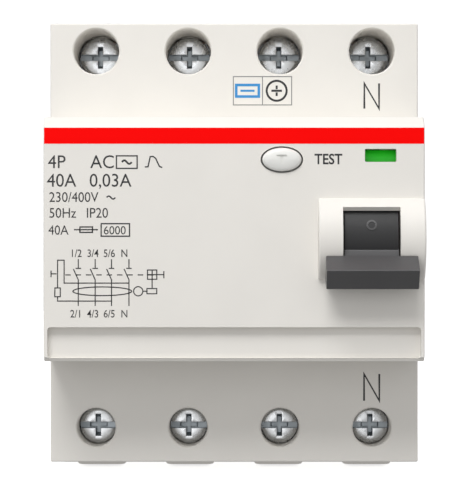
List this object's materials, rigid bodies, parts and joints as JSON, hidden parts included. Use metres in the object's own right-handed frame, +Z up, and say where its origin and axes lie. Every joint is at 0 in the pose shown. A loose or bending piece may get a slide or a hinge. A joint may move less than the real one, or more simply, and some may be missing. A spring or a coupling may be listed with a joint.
{
  "type": "residual current device",
  "caption": "Four-pole residual current circuit breaker for 35 mm rail, with toggle, test button, indicator flag, captive terminal screws and sliding rail clip.",
  "frame": {"origin": "middle of the rail seat, on the rail's centre line", "axes": "+Z up along the poles, the front faces -Y, +X to the right seen from the front"},
  "size_m": [0.07, 0.0724, 0.0858],
  "materials": {
    "housing": "fine matt moulded thermoplastic, warm light grey",
    "toggle": "satin near-black thermoplastic",
    "button": "satin light grey thermoplastic",
    "flag": "green upper half, red lower half",
    "clip": "matt dark grey polyamide",
    "frame": "matt grey thermoset",
    "steel": "bright zinc-plated steel",
    "copper": "bare copper strip",
    "silver": "silver-plated copper alloy",
    "wire": "insulated conductor",
    "core": "matt dark potting and casing",
    "winding": "enamelled copper wire",
    "resistor": "lacquered resistor body"
  },
  "bodies": {
    "housing": {"rear_base": "housing", "front_cover": "housing", "housing_screw_left": "steel", "housing_screw_right": "steel", "din_clip_spring": "steel", "line_bar_1": "copper", "line_bar_2": "copper", "line_bar_3": "copper", "line_bar_4": "copper", "load_bar_1": "copper", "load_bar_2": "copper", "load_bar_3": "copper", "load_bar_4": "copper", "primary_conductor_1": "wire", "primary_conductor_2": "wire", "primary_conductor_3": "wire", "primary_conductor_4": "wire", "transformer_core": "core", "secondary_winding": "winding", "toggle_pin": "steel", "toggle_spring": "steel", "test_button_spring": "steel", "test_contact_strip": "copper", "test_resistor": "resistor", "mechanism_frame": "frame", "trip_relay_case": "core"},
    "toggle": {"toggle_handle": "toggle"},
    "link": {"toggle_link": "steel"},
    "carrier": {"contact_carrier": "frame", "moving_contact_1": "silver", "moving_contact_2": "silver", "moving_contact_3": "silver", "moving_contact_4": "silver", "contact_spring_1": "steel", "contact_spring_2": "steel", "contact_spring_3": "steel", "contact_spring_4": "steel"},
    "flag": {"indicator_flag": "flag"},
    "test_button": {"test_button": "button"},
    "rail_clip": {"din_clip": "clip"},
    "trip_lever": {"trip_lever": "frame"},
    "latch_lever": {"latch_lever": "steel"},
    "plunger": {"trip_relay_plunger": "silver"},
    "screw_line_1": {"terminal_screw_line_1": "steel"},
    "cage_line_1": {"clamp_cage_line_1": "steel"},
    "screw_line_2": {"terminal_screw_line_2": "steel"},
    "cage_line_2": {"clamp_cage_line_2": "steel"},
    "screw_line_3": {"terminal_screw_line_3": "steel"},
    "cage_line_3": {"clamp_cage_line_3": "steel"},
    "screw_line_4": {"terminal_screw_line_4": "steel"},
    "cage_line_4": {"clamp_cage_line_4": "steel"},
    "screw_load_1": {"terminal_screw_load_1": "steel"},
    "cage_load_1": {"clamp_cage_load_1": "steel"},
    "screw_load_2": {"terminal_screw_load_2": "steel"},
    "cage_load_2": {"clamp_cage_load_2": "steel"},
    "screw_load_3": {"terminal_screw_load_3": "steel"},
    "cage_load_3": {"clamp_cage_load_3": "steel"},
    "screw_load_4": {"terminal_screw_load_4": "steel"},
    "cage_load_4": {"clamp_cage_load_4": "steel"}
  },
  "joints": [
    {"name": "toggle_turn", "type": "hinge", "parent": "housing", "child": "toggle", "pos_m": [0.0251, -0.054, 0], "axis": [-1, 0, 0], "range_deg": [0, 50], "deforming": ["toggle_spring"]},
    {"name": "link_turn", "type": "hinge", "parent": "toggle", "child": "link", "pos_m": [0.019, -0.05594, 0.00417], "axis": [-1, 0, 0], "range_deg": [-50.1, 0]},
    {"name": "carrier_turn", "type": "hinge", "parent": "housing", "child": "carrier", "pos_m": [0, -0.024, 0.006], "axis": [-1, 0, 0], "range_deg": [0, 20.1]},
    {"name": "flag_turn", "type": "hinge", "parent": "housing", "child": "flag", "pos_m": [0.0269, -0.05, 0.014], "axis": [-1, 0, 0], "range_deg": [0, 21.1]},
    {"name": "test_button_push", "type": "slide", "parent": "housing", "child": "test_button", "axis": [0, 1, 0], "range_m": [0, 0.0014], "stiffness_N_per_m": 800, "springref_m": -0.0015, "deforming": ["test_button_spring"]},
    {"name": "rail_clip_slide", "type": "slide", "parent": "housing", "child": "rail_clip", "axis": [0, 0, -1], "range_m": [0, 0.005], "stiffness_N_per_m": 600, "springref_m": -0.003, "deforming": ["din_clip_spring"]},
    {"name": "plunger_slide", "type": "slide", "parent": "housing", "child": "plunger", "axis": [1, 0, 0], "range_m": [0, 0.0015], "stiffness_N_per_m": 200, "springref_m": -0.001},
    {"name": "trip_lever_turn", "type": "hinge", "parent": "housing", "child": "trip_lever", "pos_m": [0.009, -0.049, 0.004], "axis": [0, -1, 0], "range_deg": [0, 5.6]},
    {"name": "latch_lever_turn", "type": "hinge", "parent": "housing", "child": "latch_lever", "pos_m": [0.015, -0.049, -0.003], "axis": [0, -1, 0], "range_deg": [0, 8.7]},
    {"name": "screw_line_1_turn", "type": "hinge", "parent": "housing", "child": "screw_line_1", "pos_m": [-0.02625, -0.0305, 0.0359], "axis": [0, 1, 0], "range_deg": [0, 2251]},
    {"name": "cage_line_1_slide", "type": "slide", "parent": "housing", "child": "cage_line_1", "axis": [0, -1, 0], "range_m": [0, 0.005]},
    {"name": "screw_line_2_turn", "type": "hinge", "parent": "housing", "child": "screw_line_2", "pos_m": [-0.00875, -0.0305, 0.0359], "axis": [0, 1, 0], "range_deg": [0, 2251]},
    {"name": "cage_line_2_slide", "type": "slide", "parent": "housing", "child": "cage_line_2", "axis": [0, -1, 0], "range_m": [0, 0.005]},
    {"name": "screw_line_3_turn", "type": "hinge", "parent": "housing", "child": "screw_line_3", "pos_m": [0.00875, -0.0305, 0.0359], "axis": [0, 1, 0], "range_deg": [0, 2251]},
    {"name": "cage_line_3_slide", "type": "slide", "parent": "housing", "child": "cage_line_3", "axis": [0, -1, 0], "range_m": [0, 0.005]},
    {"name": "screw_line_4_turn", "type": "hinge", "parent": "housing", "child": "screw_line_4", "pos_m": [0.02625, -0.0305, 0.0359], "axis": [0, 1, 0], "range_deg": [0, 2251]},
    {"name": "cage_line_4_slide", "type": "slide", "parent": "housing", "child": "cage_line_4", "axis": [0, -1, 0], "range_m": [0, 0.005]},
    {"name": "screw_load_1_turn", "type": "hinge", "parent": "housing", "child": "screw_load_1", "pos_m": [-0.02625, -0.0375, -0.0357], "axis": [0, 1, 0], "range_deg": [0, 2251]},
    {"name": "cage_load_1_slide", "type": "slide", "parent": "housing", "child": "cage_load_1", "axis": [0, -1, 0], "range_m": [0, 0.005]},
    {"name": "screw_load_2_turn", "type": "hinge", "parent": "housing", "child": "screw_load_2", "pos_m": [-0.00875, -0.0375, -0.0357], "axis": [0, 1, 0], "range_deg": [0, 2251]},
    {"name": "cage_load_2_slide", "type": "slide", "parent": "housing", "child": "cage_load_2", "axis": [0, -1, 0], "range_m": [0, 0.005]},
    {"name": "screw_load_3_turn", "type": "hinge", "parent": "housing", "child": "screw_load_3", "pos_m": [0.00875, -0.0375, -0.0357], "axis": [0, 1, 0], "range_deg": [0, 2251]},
    {"name": "cage_load_3_slide", "type": "slide", "parent": "housing", "child": "cage_load_3", "axis": [0, -1, 0], "range_m": [0, 0.005]},
    {"name": "screw_load_4_turn", "type": "hinge", "parent": "housing", "child": "screw_load_4", "pos_m": [0.02625, -0.0375, -0.0357], "axis": [0, 1, 0], "range_deg": [0, 2251]},
    {"name": "cage_load_4_slide", "type": "slide", "parent": "housing", "child": "cage_load_4", "axis": [0, -1, 0], "range_m": [0, 0.005]}
  ],
  "couplings": [
    {"joint": "link_turn", "follows": "toggle_turn", "ratio": -1},
    {"joint": "carrier_turn", "follows": "toggle_turn", "ratio": 0.4},
    {"joint": "flag_turn", "follows": "toggle_turn", "ratio": 0.42},
    {"joint": "trip_lever_turn", "follows": "plunger_slide", "rad_per_m": 63},
    {"joint": "latch_lever_turn", "follows": "plunger_slide", "rad_per_m": 100},
    {"joint": "screw_line_1_turn", "follows": "cage_line_1_slide", "rad_per_m": 7854},
    {"joint": "screw_line_2_turn", "follows": "cage_line_2_slide", "rad_per_m": 7854},
    {"joint": "screw_line_3_turn", "follows": "cage_line_3_slide", "rad_per_m": 7854},
    {"joint": "screw_line_4_turn", "follows": "cage_line_4_slide", "rad_per_m": 7854},
    {"joint": "screw_load_1_turn", "follows": "cage_load_1_slide", "rad_per_m": 7854},
    {"joint": "screw_load_2_turn", "follows": "cage_load_2_slide", "rad_per_m": 7854},
    {"joint": "screw_load_3_turn", "follows": "cage_load_3_slide", "rad_per_m": 7854},
    {"joint": "screw_load_4_turn", "follows": "cage_load_4_slide", "rad_per_m": 7854}
  ]
}
